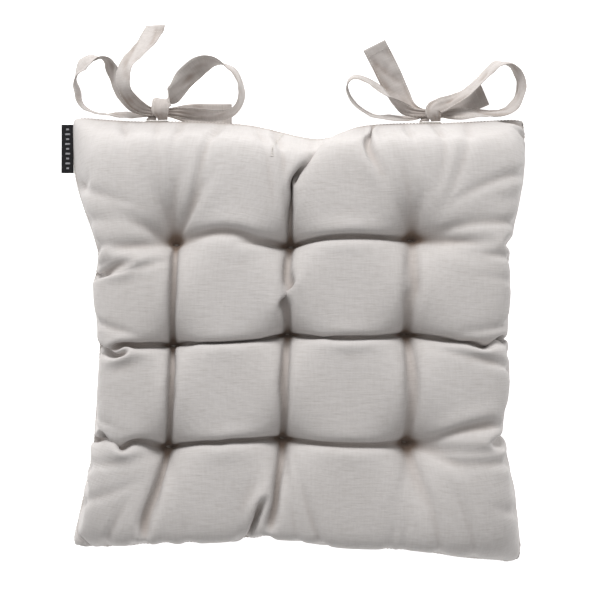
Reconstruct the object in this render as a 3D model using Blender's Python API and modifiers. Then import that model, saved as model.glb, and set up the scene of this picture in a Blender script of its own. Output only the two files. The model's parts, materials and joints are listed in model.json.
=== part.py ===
"""Tufted chair seat pad with two tied bows, as a Blender script. Metres, +Z up.

A square knife-edge cover of two panels holds one fibre filling. Nine thread loops pull the panels
together into a four by four grid of pillows. Two fabric ties, knotted in a bow, are sewn into the rear
seam near each corner, and a woven label into the left seam. The pad lies flat, rear edge towards +Y.
The origin is at the bottom centre of the whole object's box.
"""

import math

import bmesh
import bpy
from mathutils import Vector

# Driving dimensions
PAD_WIDTH = 0.458  # from corner tip to corner tip, in X
PAD_DEPTH = 0.452  # and in Y
PAD_HEIGHT = 0.074  # at the crown of the middle pillows
EDGE_PILLOW_DROP = 0.010  # of the outer pillows' crowns below that
SEAM_HEIGHT = 0.024  # of the edge seam above the surface that the pad lies on
DRAW_IN = (0.023, 0.012)  # how far tufting pulls the front and rear edges in: mid-edge, outer tufts
SIDE_DRAW_IN = (0.024, 0.021)  # and the left and right edges
TUFT_PITCH_X = 0.1155  # of the nine tufts, across
TUFT_PITCH_Y = 0.1025  # and front to back
TUFT_TOP_HEIGHT = 0.034  # of the top panel at a tuft
TUFT_BOTTOM_HEIGHT = 0.014  # of the bottom panel at a tuft
VALLEY_RISE = 0.012  # of the crease between two tufts, above the tufts
CLOTH = 0.0008  # thickness of a panel
GAP = 0.0003  # clearance between pieces that touch
SEAM_THREAD_RADIUS = 0.0004
TUFT_THREAD_RADIUS = 0.0006
TUFT_LEG_SPACING = 0.005  # between the two legs of a tuft's thread loop
CELL_STEPS = 6  # faces along one side of a pillow
TIE_WIDTH = 0.025
TIE_GATHERED_WIDTH = 0.008  # in the knot
TIE_THICKNESS = 0.0012  # four plies, pressed
BOW_FROM_CORNER = (0.0846, 0.0977)  # along X, to where each pair of ties is sewn in, left and right
TACK_LENGTH = 0.022  # of the bar of thread that holds a pair of ties
TACK_RADIUS = 0.0008
LABEL_LENGTH = 0.049
LABEL_REACH = 0.012  # how far the label stands out of the seam
LABEL_THICKNESS = 0.0009
LABEL_FROM_CORNER = 0.0105  # along the left seam, from the rear corner
CLOSING_LENGTH = 0.040  # of the hand-sewn part of the rear seam, where the filling went in
CLOSING_TURNS = 9
CLOSING_CENTRE_X = -0.036

# How far the filling has pushed each tuft off the regular grid: rear row first, left to right
TUFT_WANDER = (
    ((-0.0085, -0.0095), (-0.0090, -0.0115), (-0.0045, -0.0045)),
    ((-0.0115, -0.0080), (-0.0120, 0.0040), (-0.0105, 0.0040)),
    ((-0.0165, -0.0065), (-0.0180, 0.0025), (-0.0105, -0.0015)),
)

RIM_RISE = SEAM_THREAD_RADIUS + GAP + CLOTH  # of a panel's outside above the seam, at its edge
FLAT = 90  # turn of a tie whose face looks up; a tie on its edge has a turn of 0
STEPS_PER_STATION = 2  # sections of a tie for each station of its course

# The course of each tie. X and Y are in mm from its hinge on the rear seam, then comes the height of its
# lower edge above the surface, in mm at the seam height below. The fourth value is its turn about its own
# course, in degrees from standing on edge, or its width direction. The last is how far it is spread, from 0,
# gathered, to 1, its full width.
COURSE_SEAM_HEIGHT = 0.024
LEFT_TIE_LOOP = [
    (-5.7, 1.3, 24, (1, 0, 0), 0.12),
    (-5.7, 2.3, 23.9, (1, 0, 0), 0.12),
    (-5.8, 3.4, 23, (1, 0, 0), 0.12),
    (-7.6, 5, 17.6, (0.8, 0.2, 0.5), 0.12),
    (-11.5, 6, 11.9, 14, 0.15),
    (-18, 6.4, 7.9, 18, 0.41),
    (-29, 7, 3.3, 19, 0.93),
    (-43, 7.6, 2.4, 14, 1),
    (-55, 8, 2.6, 8, 1),
    (-65, 9.6, 3.6, 8, 1),
    (-73.5, 14, 4.7, 9, 1),
    (-79.6, 23.7, 4.7, 9, 1),
    (-82.6, 36, 4.6, 8, 1),
    (-81.8, 48, 4.8, -12, 1),
    (-75.8, 57.6, 8.1, -38, 1),
    (-66.2, 63.6, 8, -28, 1),
    (-56.4, 64.2, 6.5, 0, 1),
    (-49, 58, 8, 28, 1),
    (-44, 47, 8.4, 32, 1),
    (-40.4, 36, 8, 28, 1),
    (-33.5, 24.5, 9.3, 30, 0.85),
    (-25, 16, 15, 50, 0.44),
    (-14, 10.6, 20.6, 80, 0.06),
    (-6, 9.6, 21.8, FLAT, 0),
    (-1.5, 9.5, 22.2, FLAT, 0),
    (0.4, 9.5, 24, (0, 1, 0), 0),
    (-1.5, 9.5, 25.8, -FLAT, 0),
    (-7, 9.8, 26.2, -85, 0.06),
    (-16, 13, 27.3, -62, 0.34),
    (-25, 19.5, 31.5, -46, 0.63),
    (-31.5, 31, 34.4, -40, 0.85),
    (-32.6, 44, 33.1, -38, 1),
    (-28.3, 57, 29.1, -38, 1),
    (-19.6, 69, 22.4, -40, 1),
    (-11, 80, 15.9, -43, 1),
    (-4.5, 91, 9.5, -47, 1),
    (-2, 98, 7, -50, 1),
]
LEFT_TIE_WRAP = [
    (5.7, 1.3, 24, (1, 0, 0), 0.12),
    (5.7, 2.3, 24.1, (1, 0, 0), 0.12),
    (5.6, 3.4, 24.9, (1, 0, 0), 0.15),
    (5.2, 4.6, 26.4, (1, 0, 0), 0.21),
    (4.8, 6.4, 29, (1, 0, 0), 0.26),
    (3.8, 10.4, 30.9, (1, 0.1, 0), 0.41),
    (4, 15, 29.1, (1, -0.15, 0.1), 0.59),
    (6.6, 19.6, 22.5, (0.9, -0.4, 0.4), 0.71),
    (13.1, 24.4, 13.9, 36, 0.71),
    (19.6, 32, 11.7, 44, 0.88),
    (28.3, 44.2, 11.3, 52, 1),
    (39.4, 54.5, 11, 50, 1),
    (50.5, 60, 8.2, 30, 1),
    (62, 60.6, 6, 4, 1),
    (71.7, 56.6, 5.9, -14, 1),
    (79.3, 50.5, 5.4, -15, 1),
    (84.2, 39.4, 5.2, -11, 1),
    (85.3, 27.3, 5.2, -11, 1),
    (82, 16, 5.8, -12, 1),
    (74.4, 9.2, 6.5, -16, 1),
    (62, 6.6, 7.1, -22, 0.97),
    (48, 6.8, 8.6, -28, 0.85),
    (34, 8.2, 12.5, -42, 0.56),
    (22, 9.2, 17.5, -70, 0.19),
    (13, 9.5, 19.2, -FLAT, 0.03),
    (9.2, 9.5, 18.8, -FLAT, 0.03),
    (7.2, 9.5, 16.8, (0, 1, 0), 0.03),
    (9.2, 9.5, 14.8, FLAT, 0.03),
    (13, 9.6, 13, FLAT, 0.12),
    (20, 9.8, 7.8, FLAT, 0.34),
    (29, 9.6, 3.6, FLAT, 0.63),
    (40, 9, 2.2, FLAT, 0.79),
    (56, 8.6, 2, FLAT, 0.82),
    (74.7, 8.6, 2, FLAT, 0.82),
]
RIGHT_TIE_LOOP = [
    (-5.7, 1.3, 24, (1, 0, 0), 0.12),
    (-5.7, 2.3, 23.9, (1, 0, 0), 0.12),
    (-5.8, 3.4, 23.2, (1, 0, 0), 0.12),
    (-7.6, 4.8, 18.6, (0.8, 0.2, 0.5), 0.12),
    (-11.5, 5.4, 14.1, 14, 0.12),
    (-18, 4.9, 10.7, 18, 0.35),
    (-28, 5.1, 5.9, 19, 0.85),
    (-40, 5.2, 4.5, 17, 1),
    (-51, 6.4, 4.4, 14, 1),
    (-61.6, 9.6, 4.4, 14, 1),
    (-72.2, 16, 4.8, 12, 1),
    (-80.4, 25.4, 4.7, 9, 1),
    (-84, 35.3, 5, 4, 1),
    (-82.4, 43.4, 5.6, -8, 1),
    (-76, 47.4, 6.4, -15, 1),
    (-66.5, 45.4, 7, -17, 1),
    (-56.4, 39.4, 7.6, -18, 1),
    (-46.4, 31, 7.9, -15, 1),
    (-36.6, 21.6, 8.1, 6, 1),
    (-27, 14.4, 15.3, 34, 0.59),
    (-16.8, 10.4, 23, 74, 0.12),
    (-8, 9.6, 24.9, FLAT, 0),
    (-2.5, 9.5, 24.8, FLAT, 0),
    (-0.4, 9.5, 22.8, (0, 1, 0), 0),
    (-2.5, 9.5, 20.8, -FLAT, 0),
    (-8, 10.6, 18.6, -FLAT, 0.03),
    (-15, 14, 12, -FLAT, 0.15),
    (-21.6, 19.4, 6.2, -FLAT, 0.41),
    (-28, 28, 3, -FLAT, 0.74),
    (-34, 38, 2, -88, 0.91),
    (-39.6, 49, 2.1, -84, 1),
    (-46, 61.6, 3.4, -80, 1),
    (-52, 72.6, 5.4, -78, 1),
    (-56, 80, 7.4, -78, 1),
]
RIGHT_TIE_WRAP = [
    (5.7, 1.3, 24, (1, 0, 0), 0.12),
    (5.7, 2.3, 24.1, (1, 0, 0), 0.12),
    (5.6, 3.4, 24.9, (1, 0, 0), 0.15),
    (5.2, 4.6, 26.4, (1, 0, 0), 0.21),
    (4.4, 6.2, 28, (1, 0, 0), 0.26),
    (3.6, 10.2, 29.4, (1, 0.1, 0), 0.44),
    (5, 14.4, 27.7, (0.95, -0.3, 0.1), 0.56),
    (11.5, 17.6, 24.1, (0.5, -0.8, 0.25), 0.5),
    (22.8, 22.6, 18.2, -52, 0.44),
    (38.7, 31.4, 11.5, -26, 0.78),
    (50.5, 43, 8.3, -21, 1),
    (61.2, 54, 7.3, -20, 1),
    (70.8, 60, 6, -16, 1),
    (81.6, 59.4, 5, 0, 1),
    (89.4, 51.1, 5.4, 14, 1),
    (92.9, 39.4, 5.5, 17, 1),
    (90.4, 26.1, 5.7, 19, 1),
    (83, 15.2, 6.3, 21, 1),
    (72.4, 11.2, 6.3, 20, 1),
    (59.8, 10.6, 6.4, 22, 1),
    (46.7, 10.4, 8.1, 30, 0.93),
    (32, 9.6, 13.6, 50, 0.59),
    (21, 9.3, 18.1, 76, 0.18),
    (13, 9.5, 19.2, FLAT, 0.03),
    (9.2, 9.5, 18.8, FLAT, 0.03),
    (7.2, 9.5, 16.8, (0, 1, 0), 0.03),
    (9.2, 9.6, 14.8, FLAT, 0.03),
    (14, 11, 12.6, FLAT, 0.12),
    (22, 15, 7, FLAT, 0.41),
    (31, 19.4, 3.2, FLAT, 0.76),
    (42, 24.4, 2.2, FLAT, 0.91),
    (57.5, 31, 2.2, FLAT, 0.91),
]

FABRIC = ((0.66, 0.63, 0.60, 1), 0.9)
FIBRE = ((0.88, 0.88, 0.86, 1), 1.0)
THREAD = ((0.62, 0.58, 0.53, 1), 0.8)
LABEL_CLOTH = ((0.015, 0.015, 0.017, 1), 0.7)


def clear_scene():
    for obj in list(bpy.data.objects):
        bpy.data.objects.remove(obj)


def new_collection(name):
    collection = bpy.data.collections.new(name)
    bpy.context.scene.collection.children.link(collection)
    return collection


def material(name, look):
    colour, roughness = look
    made = bpy.data.materials.new(name)
    made.use_nodes = True
    shader = made.node_tree.nodes["Principled BSDF"]
    shader.inputs["Base Color"].default_value = colour
    shader.inputs["Roughness"].default_value = roughness
    return made


def node(name, data, collection, finish, smooth=True):
    """A named part from a mesh or curve, with its material."""
    obj = bpy.data.objects.new(name, data)
    collection.objects.link(obj)
    data.materials.append(finish)
    if smooth and isinstance(data, bpy.types.Mesh):
        data.shade_smooth()
    return obj


def mix(a, b, share):
    return a + (b - a) * share


def tuft(column, row):
    """Place of a tuft from the pad's centre: column -1, 0, 1 from the left, row 1, 0, -1 from the rear."""
    wander = TUFT_WANDER[1 - row][column + 1]
    return Vector((column * TUFT_PITCH_X + wander[0], row * TUFT_PITCH_Y + wander[1]))


def net_point(i, j):
    """Corner of the pillows' grid, i and j from -2 to 2: tufts inside, and the drawn-in outline."""
    if abs(i) < 2 and abs(j) < 2:
        return tuft(i, j)
    x, y = i * TUFT_PITCH_X, j * TUFT_PITCH_Y
    if abs(i) == 2:
        x = math.copysign(PAD_WIDTH / 2 - (*SIDE_DRAW_IN, 0)[abs(j)], i)
    if abs(j) == 2:
        y = math.copysign(PAD_DEPTH / 2 - (*DRAW_IN, 0)[abs(i)], j)
    return Vector((x, y))


def rear_seam_y(x):
    """Y of the rear seam at x, from the pad's centre."""
    points = [net_point(i, 2) for i in range(-2, 3)]
    for a, b in zip(points, points[1:]):
        if a.x <= x <= b.x:
            return mix(a.y, b.y, (x - a.x) / (b.x - a.x))
    return points[0].y


def left_seam_x(y):
    """X of the left seam at y, from the pad's centre."""
    points = [net_point(-2, j) for j in range(-2, 3)]
    for a, b in zip(points, points[1:]):
        if a.y <= y <= b.y:
            return mix(a.x, b.x, (y - a.y) / (b.y - a.y))
    return points[0].x


def pillow_height(i, j, s, t, tuft_height, rim_height, crown, rise):
    """Height at s, t, each 0 to 1, in the pillow whose lower left grid corner is i, j."""
    corner = [
        tuft_height if abs(i + a) < 2 and abs(j + b) < 2 else rim_height
        for a, b in ((0, 0), (1, 0), (0, 1), (1, 1))
    ]
    flat = mix(mix(corner[0], corner[1], s), mix(corner[2], corner[3], s), t)
    hump_s, hump_t = 4 * s * (1 - s), 4 * t * (1 - t)
    rises = (
        (hump_s * (1 - t), abs(j) < 2),
        (hump_s * t, abs(j + 1) < 2),
        (hump_t * (1 - s), abs(i) < 2),
        (hump_t * s, abs(i + 1) < 2),
    )
    valley = rise * sum(share for share, inside in rises if inside)
    middle = mix(mix(corner[0], corner[1], 0.5), mix(corner[2], corner[3], 0.5), 0.5)
    valley_middle = rise * sum(inside for _, inside in rises) / 2
    return flat + valley + (crown - middle - valley_middle) * (hump_s * hump_t) ** 0.7


def quilt_place(k, l):
    """Plan place of grid vertex k, l, and its heights on the outside of the top and the bottom panel."""
    i, j = min(k // CELL_STEPS, 3), min(l // CELL_STEPS, 3)
    s, t = k / CELL_STEPS - i, l / CELL_STEPS - j
    i, j = i - 2, j - 2
    place = mix(
        mix(net_point(i, j), net_point(i + 1, j), s),
        mix(net_point(i, j + 1), net_point(i + 1, j + 1), s),
        t,
    )
    outer = {-2, 1} & {i, j}
    crown = PAD_HEIGHT - (EDGE_PILLOW_DROP if outer else 0)
    sag = -SEAM_HEIGHT / 3  # of the bottom crown below the surface it rests on, were it not flattened there
    top = pillow_height(i, j, s, t, TUFT_TOP_HEIGHT, SEAM_HEIGHT + RIM_RISE, crown, VALLEY_RISE)
    below = pillow_height(i, j, s, t, TUFT_BOTTOM_HEIGHT, SEAM_HEIGHT - RIM_RISE, sag, -VALLEY_RISE / 2)
    return place, top, max(below, 0.0)


def quilt_sheet(is_top):
    """Open surface of the outside of one panel, facing out, over the pillows' grid."""
    steps = 4 * CELL_STEPS
    bm = bmesh.new()
    bmesh.ops.create_grid(bm, x_segments=steps, y_segments=steps, size=steps / 2)
    for vert in bm.verts:
        k, l = round(vert.co.x + steps / 2), round(vert.co.y + steps / 2)
        place, top, below = quilt_place(k, l)
        vert.co = (place.x, place.y, top if is_top else below)
    bmesh.ops.triangulate(bm, faces=bm.faces, quad_method="FIXED")
    if not is_top:
        bmesh.ops.reverse_faces(bm, faces=bm.faces)
    bm.normal_update()
    return bm


def panel(name, is_top, collection, finish):
    """Cover panel: the quilted surface with the cloth's thickness inside it."""
    bm = quilt_sheet(is_top)
    mesh = bpy.data.meshes.new(name)
    bm.to_mesh(mesh)
    bm.free()
    obj = node(name, mesh, collection, finish)
    shell = obj.modifiers.new("cloth", "SOLIDIFY")
    shell.thickness = CLOTH
    shell.offset = -1
    return obj


def filling(collection, finish):
    """The fibre batt: what the two panels enclose, short of the rim, where they come together."""
    mesh = bpy.data.meshes.new("fibre_filling")
    for is_top in (True, False):
        bm = quilt_sheet(is_top)
        rim = [vert for vert in bm.verts if vert.is_boundary]
        for vert in bm.verts:
            vert.co -= vert.normal * (CLOTH + GAP)
        bmesh.ops.delete(bm, geom=rim, context="VERTS")
        if not is_top:
            bm.from_mesh(mesh)
            bmesh.ops.bridge_loops(bm, edges=[edge for edge in bm.edges if edge.is_boundary])
        bm.to_mesh(mesh)
        bm.free()
    return node("fibre_filling", mesh, collection, finish)


def outline():
    """Points of the seam line in plan, anticlockwise from the front left corner."""
    last = 4 * CELL_STEPS
    span = range(last)
    keys = (
        [(k, 0) for k in span]
        + [(last, l) for l in span]
        + [(last - k, last) for k in span]
        + [(0, last - l) for l in span]
    )
    return [quilt_place(*key)[0] for key in keys]


def thread(name, points, radius, collection, finish, cyclic=False):
    """A round thread along points."""
    curve = bpy.data.curves.new(name, "CURVE")
    curve.dimensions = "3D"
    curve.bevel_depth = radius
    curve.bevel_resolution = 2
    curve.use_fill_caps = not cyclic
    spline = curve.splines.new("POLY")
    spline.points.add(len(points) - 1)
    for point, place in zip(spline.points, points):
        point.co = (*place, 1)
    spline.use_cyclic_u = cyclic
    return node(name, curve, collection, finish)


def catmull_rom(a, b, c, d, share):
    """Point between b and c on the smooth curve through all four."""
    return 0.5 * (
        2 * b
        + (c - a) * share
        + (2 * a - 5 * b + 4 * c - d) * share**2
        + (3 * b - a - 3 * c + d) * share**3
    )


def width_directions(stations):
    """Width direction at each station, from its turn about the course or as given."""
    places = [Vector(station[:2]) for station in stations]
    found = []
    for n, station in enumerate(stations):
        if isinstance(station[3], tuple):
            found.append(Vector(station[3]).normalized())
            continue
        along = places[min(n + 1, len(places) - 1)] - places[max(n - 1, 0)]
        left = Vector((-along.y, along.x, 0)).normalized()
        turn = math.radians(station[3])
        found.append(Vector((0, 0, math.cos(turn))) + left * math.sin(turn))
    return found


def tie_strip(name, stations, hinge, collection, finish):
    """A flat tie swept along its stations, which count from its hinge on the rear seam."""
    directions = width_directions(stations)
    places, widths = [], []
    for (x, y, height, _, spread), direction in zip(stations, directions):
        half = mix(TIE_GATHERED_WIDTH, TIE_WIDTH, spread) / 2
        low = height / 1000 * SEAM_HEIGHT / COURSE_SEAM_HEIGHT - SEAM_HEIGHT
        places.append(Vector((x / 1000, y / 1000, low + abs(direction.z) * half)))
        widths.append(direction * half)
    last = len(stations) - 1
    course = []
    for n in range(last):
        near = [max(n - 1, 0), n, n + 1, min(n + 2, last)]
        for step in range(STEPS_PER_STATION):
            share = step / STEPS_PER_STATION
            course.append([catmull_rom(*(row[m] for m in near), share) for row in (places, widths)])
    course.append([places[last], widths[last]])
    bm = bmesh.new()
    rings = []
    for n, (place, width) in enumerate(course):
        along = (course[min(n + 1, len(course) - 1)][0] - course[max(n - 1, 0)][0]).normalized()
        across = (width - along * width.dot(along)).normalized() * width.length
        through = along.cross(across).normalized() * (TIE_THICKNESS / 2)
        corners = (-across - through, across - through, across + through, -across + through)
        rings.append([bm.verts.new(place + corner) for corner in corners])
    for a, b in zip(rings, rings[1:]):
        for k in range(4):
            bm.faces.new([a[k], a[(k + 1) % 4], b[(k + 1) % 4], b[k]])
    bm.faces.new(rings[0][::-1])
    bm.faces.new(rings[-1])
    bmesh.ops.recalc_face_normals(bm, faces=bm.faces)
    mesh = bpy.data.meshes.new(name)
    bm.to_mesh(mesh)
    bm.free()
    strip = node(name, mesh, collection, finish, smooth=False)
    strip.parent = hinge
    return strip


def needle_holes(collection):
    """Cutter for the two holes that each tuft's thread makes."""
    bm = bmesh.new()
    for column in (-1, 0, 1):
        for row in (1, 0, -1):
            for side in (-1, 1):
                place = tuft(column, row)
                made = bmesh.ops.create_cone(
                    bm,
                    cap_ends=True,
                    segments=8,
                    radius1=TUFT_THREAD_RADIUS + GAP,
                    radius2=TUFT_THREAD_RADIUS + GAP,
                    depth=2 * PAD_HEIGHT,
                )
                offset = Vector((place.x + side * TUFT_LEG_SPACING / 2, place.y, PAD_HEIGHT / 2))
                bmesh.ops.translate(bm, verts=made["verts"], vec=offset)
    mesh = bpy.data.meshes.new("needle_holes")
    bm.to_mesh(mesh)
    bm.free()
    cutter = bpy.data.objects.new("needle_holes", mesh)
    cutter.hide_render = True
    cutter.display_type = "WIRE"
    collection.objects.link(cutter)
    return cutter


def pierce(obj, cutter):
    cut = obj.modifiers.new("needle_holes", "BOOLEAN")
    cut.operation = "DIFFERENCE"
    cut.object = cutter


def tuft_loop(name, column, row, collection, finish):
    """One tuft: a loop of thread through the pad, over the top panel and under the bottom one."""
    place = tuft(column, row)
    half = TUFT_LEG_SPACING / 2
    slack = VALLEY_RISE / 7  # the panels rise away from a tuft, so the bars lie clear of its middle
    high = TUFT_TOP_HEIGHT + slack + GAP + TUFT_THREAD_RADIUS
    low = TUFT_BOTTOM_HEIGHT - slack - GAP - TUFT_THREAD_RADIUS
    bend = TUFT_THREAD_RADIUS
    course = [
        (-half, low + bend),
        (-half, high - bend),
        (-half + bend, high),
        (half - bend, high),
        (half, high - bend),
        (half, low + bend),
        (half - bend, low),
        (-half + bend, low),
    ]
    points = [(place.x + x, place.y, z) for x, z in course]
    return thread(name, points, TUFT_THREAD_RADIUS, collection, finish, cyclic=True)


def edge_thread(collection, finish):
    """The lockstitch thread between the two panels, all round."""
    inset = SEAM_THREAD_RADIUS + 2 * GAP
    points = [(*(place * (1 - inset / place.length)), SEAM_HEIGHT) for place in outline()]
    return thread("edge_seam_thread", points, SEAM_THREAD_RADIUS, collection, finish, cyclic=True)


def closing_stitch(collection, finish):
    """Hand-sewn whip stitch outside the rear seam, where the cover was closed over the filling."""
    points = []
    for n in range(2 * CLOSING_TURNS + 1):
        x = CLOSING_CENTRE_X + CLOSING_LENGTH * (n / (2 * CLOSING_TURNS) - 0.5)
        side = 1 if n % 2 else -1
        points.append((x, rear_seam_y(x) + SEAM_THREAD_RADIUS + GAP, SEAM_HEIGHT + side * RIM_RISE))
    return thread("closing_stitch", points, SEAM_THREAD_RADIUS, collection, finish)


def hinge_line_y(x):
    """Y of the bar of thread about which a bow sewn in at x swings."""
    half = TACK_LENGTH / 2
    return max(rear_seam_y(x - half), rear_seam_y(x + half)) + TACK_RADIUS


def hinge_empty(name, place):
    """Marks a hinge line. The pieces that swing on it are its children."""
    empty = bpy.data.objects.new(name, None)
    empty.location = place
    bpy.context.scene.collection.objects.link(empty)
    return empty


def tie_tack(name, x, collection, finish):
    """Bar tack that holds a pair of ties to the rear seam."""
    y, half = hinge_line_y(x), TACK_LENGTH / 2
    points = [(x - half, y, SEAM_HEIGHT), (x + half, y, SEAM_HEIGHT)]
    return thread(name, points, TACK_RADIUS, collection, finish)


def side_label(collection, cloth, thread_finish):
    """Folded woven label that stands out of the left seam, and the stitching that holds it."""
    half = LABEL_LENGTH / 2
    centre = PAD_DEPTH / 2 - LABEL_FROM_CORNER - half
    line = min(left_seam_x(centre - half), left_seam_x(centre + half)) - GAP - SEAM_THREAD_RADIUS
    points = [(line, centre - half, SEAM_HEIGHT), (line, centre + half, SEAM_HEIGHT)]
    thread("label_stitch", points, SEAM_THREAD_RADIUS, collection, thread_finish)
    bm = bmesh.new()
    bmesh.ops.create_cube(bm, size=1)
    bmesh.ops.scale(bm, verts=bm.verts, vec=(LABEL_REACH, LABEL_LENGTH, LABEL_THICKNESS))
    start = -SEAM_THREAD_RADIUS - GAP
    bmesh.ops.translate(bm, verts=bm.verts, vec=(start - LABEL_REACH / 2, 0, 0))
    mesh = bpy.data.meshes.new("side_label")
    bm.to_mesh(mesh)
    bm.free()
    label = node("side_label", mesh, collection, cloth, smooth=False)
    label.parent = hinge_empty("label_hinge", (line, centre, SEAM_HEIGHT))
    edge = label.modifiers.new("fold", "BEVEL")
    edge.width = LABEL_THICKNESS / 4
    edge.segments = 1
    return label


def centre_on_origin(collection):
    """Moves everything so that the origin is at the bottom centre of the object's box."""
    bpy.context.view_layer.update()
    graph = bpy.context.evaluated_depsgraph_get()
    low = Vector((math.inf,) * 3)
    high = -low
    for obj in collection.objects:
        evaluated = obj.evaluated_get(graph)
        for vertex in evaluated.to_mesh().vertices:
            place = evaluated.matrix_world @ vertex.co
            low = Vector(map(min, low, place))
            high = Vector(map(max, high, place))
        evaluated.to_mesh_clear()
    shift = Vector((-(low.x + high.x) / 2, -(low.y + high.y) / 2, -low.z))
    frame = bpy.data.objects.new("seat_pad_frame", None)
    for obj in bpy.context.scene.objects:
        if obj.parent is None:
            obj.parent = frame
    bpy.context.scene.collection.objects.link(frame)
    frame.location = shift


def main():
    clear_scene()
    pad = new_collection("chair_seat_pad")
    cutters = new_collection("cutters")
    fabric = material("cover_fabric", FABRIC)
    fibre = material("fibre", FIBRE)
    thread_finish = material("thread", THREAD)
    label_cloth = material("label_cloth", LABEL_CLOTH)
    holes = needle_holes(cutters)

    top = panel("top_panel", True, pad, fabric)
    bottom = panel("bottom_panel", False, pad, fabric)
    batt = filling(pad, fibre)
    for piece in (top, bottom, batt):
        pierce(piece, holes)
    edge_thread(pad, thread_finish)
    closing_stitch(pad, thread_finish)

    number = 0
    for row in (1, 0, -1):
        for column in (-1, 0, 1):
            number += 1
            tuft_loop(f"tuft_thread_{number}", column, row, pad, thread_finish)

    courses = ((LEFT_TIE_LOOP, LEFT_TIE_WRAP), (RIGHT_TIE_LOOP, RIGHT_TIE_WRAP))
    bow_x = (BOW_FROM_CORNER[0] - PAD_WIDTH / 2, PAD_WIDTH / 2 - BOW_FROM_CORNER[1])
    for side, x, (loop, wrap) in zip(("left", "right"), bow_x, courses):
        hinge = hinge_empty(f"{side}_bow_hinge", (x, hinge_line_y(x), SEAM_HEIGHT))
        tie_tack(f"{side}_tie_tack", x, pad, thread_finish)
        tie_strip(f"{side}_tie_loop", loop, hinge, pad, fabric)
        tie_strip(f"{side}_tie_wrap", wrap, hinge, pad, fabric)

    side_label(pad, label_cloth, thread_finish)
    centre_on_origin(pad)


main()
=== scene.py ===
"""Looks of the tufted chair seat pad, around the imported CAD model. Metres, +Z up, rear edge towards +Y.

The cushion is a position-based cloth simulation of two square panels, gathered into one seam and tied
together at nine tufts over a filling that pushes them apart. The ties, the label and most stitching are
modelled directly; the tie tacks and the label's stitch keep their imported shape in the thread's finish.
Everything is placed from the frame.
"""

import json
import math

import bpy
import numpy as np
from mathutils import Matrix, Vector, noise


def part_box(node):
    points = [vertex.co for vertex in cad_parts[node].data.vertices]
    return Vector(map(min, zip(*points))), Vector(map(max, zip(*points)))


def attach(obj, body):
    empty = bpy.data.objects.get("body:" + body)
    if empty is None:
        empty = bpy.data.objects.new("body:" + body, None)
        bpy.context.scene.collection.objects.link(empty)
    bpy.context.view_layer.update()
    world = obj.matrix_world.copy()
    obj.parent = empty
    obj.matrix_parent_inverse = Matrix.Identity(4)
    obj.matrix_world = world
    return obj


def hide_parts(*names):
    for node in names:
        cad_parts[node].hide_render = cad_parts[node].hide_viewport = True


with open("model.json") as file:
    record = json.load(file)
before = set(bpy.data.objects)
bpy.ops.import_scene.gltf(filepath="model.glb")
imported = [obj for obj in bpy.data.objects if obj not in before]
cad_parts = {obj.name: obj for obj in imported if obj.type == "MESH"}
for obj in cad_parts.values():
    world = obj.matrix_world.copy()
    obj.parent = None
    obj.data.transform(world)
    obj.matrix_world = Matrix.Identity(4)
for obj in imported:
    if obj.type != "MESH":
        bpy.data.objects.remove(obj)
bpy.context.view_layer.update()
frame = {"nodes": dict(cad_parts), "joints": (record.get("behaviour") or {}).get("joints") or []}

MM = 0.001

# Where things are, read from the frame
PANEL_LOW, PANEL_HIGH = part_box("top_panel")
PAD_CENTRE = ((PANEL_LOW[0] + PANEL_HIGH[0]) / 2, (PANEL_LOW[1] + PANEL_HIGH[1]) / 2)
SEAM_HEIGHT = sum(corner[2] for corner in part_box("edge_seam_thread")) / 2
LABEL_LOW, LABEL_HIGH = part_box("side_label")

# Cover: the seam's outline in mm from the pad's centre. Each side has its corners, the three places where
# a row of tufts pulls it in and the four pillow edges between them.
REAR_SEAM = ((-230, 223), (-172, 218.8), (-112, 218.2), (-50, 214.5), (17, 201), (58, 213), (99, 216.5),
             (150, 217.2), (229, 221))
FRONT_SEAM = ((-230, -209), (-188, -208.5), (-136, -204), (-80, -203), (-25, -197), (40, -206),
              (106, -210), (168, -220), (223, -226))
LEFT_SEAM = ((-230, 223), (-226.5, 160), (-204, 89), (-208, 50), (-202, -2), (-204, -52), (-208, -103),
             (-216, -150), (-230, -209))
RIGHT_SEAM = ((229, 221), (224, 165), (206, 96), (208, 52), (205, 3), (209, -42), (200, -95), (213, -152),
              (223, -226))

# Cover cloth, cut flat: width of each column of pillows and depth of each row, front row first
FLAT_COLUMNS = (0.130, 0.136, 0.141, 0.140)
FLAT_ROWS = (0.148, 0.124, 0.117, 0.148)
UNDERSIDE_SHARE = 0.4  # of the spare cloth that is left on the underside, where the pad rests flat
SEAM_GATHER_REACH = 0.006  # how far in from the seam its gathers reach
SEAM_SLACK = 1.01
TUFT_TOP = 0.0305  # of the cover's outside at a tuft
TUFT_BOTTOM = 0.0135
TUFT_HALF = 0.0030  # half the stretch of cloth that a tuft's thread holds down
TUFT_THREAD_RADIUS = 0.0006
FULL_HEIGHT = 0.076  # where the filling stops pushing
PUSH_RANGE = 0.010  # below that, over which its push grows

# Simulation: nodes to a pillow, steps, solver rounds and bending of each level, coarse to fine
LEVELS = ((10, 140, 8, 0.03), (20, 90, 8, 0.06), (40, 50, 8, 0.15), (80, 24, 8, 0.35))
DAMPING = 0.9
STRETCH, SQUEEZE, SHEAR = 1.0, 0.5, 0.25
SEED = 3
FLOAT = np.float32
START_NOISE = 0.12  # unevenness at the coarsest level, as a share of the cloth between two nodes
START_HUMP = 0.035
START_VALLEY = 0.25  # share of the hump that is left between the tufts
START_FADE = 0.5  # of a pillow, over which the valleys fade out beyond the outer tufts
START_GAP = 0.002  # from the seam's height to each panel
LEAST_STEP = 0.15  # share of the cloth between two nodes by which they stay apart in plan
PANEL_GAP = 0.001
SIDES = ((slice(None), 0), (slice(None), -1), (0, slice(None)), (-1, slice(None)))
SEAM_GRIP = (0.15, 0.03, 0.03, 0.5)  # how firmly the seam keeps its line: left, right, front, rear
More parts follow.
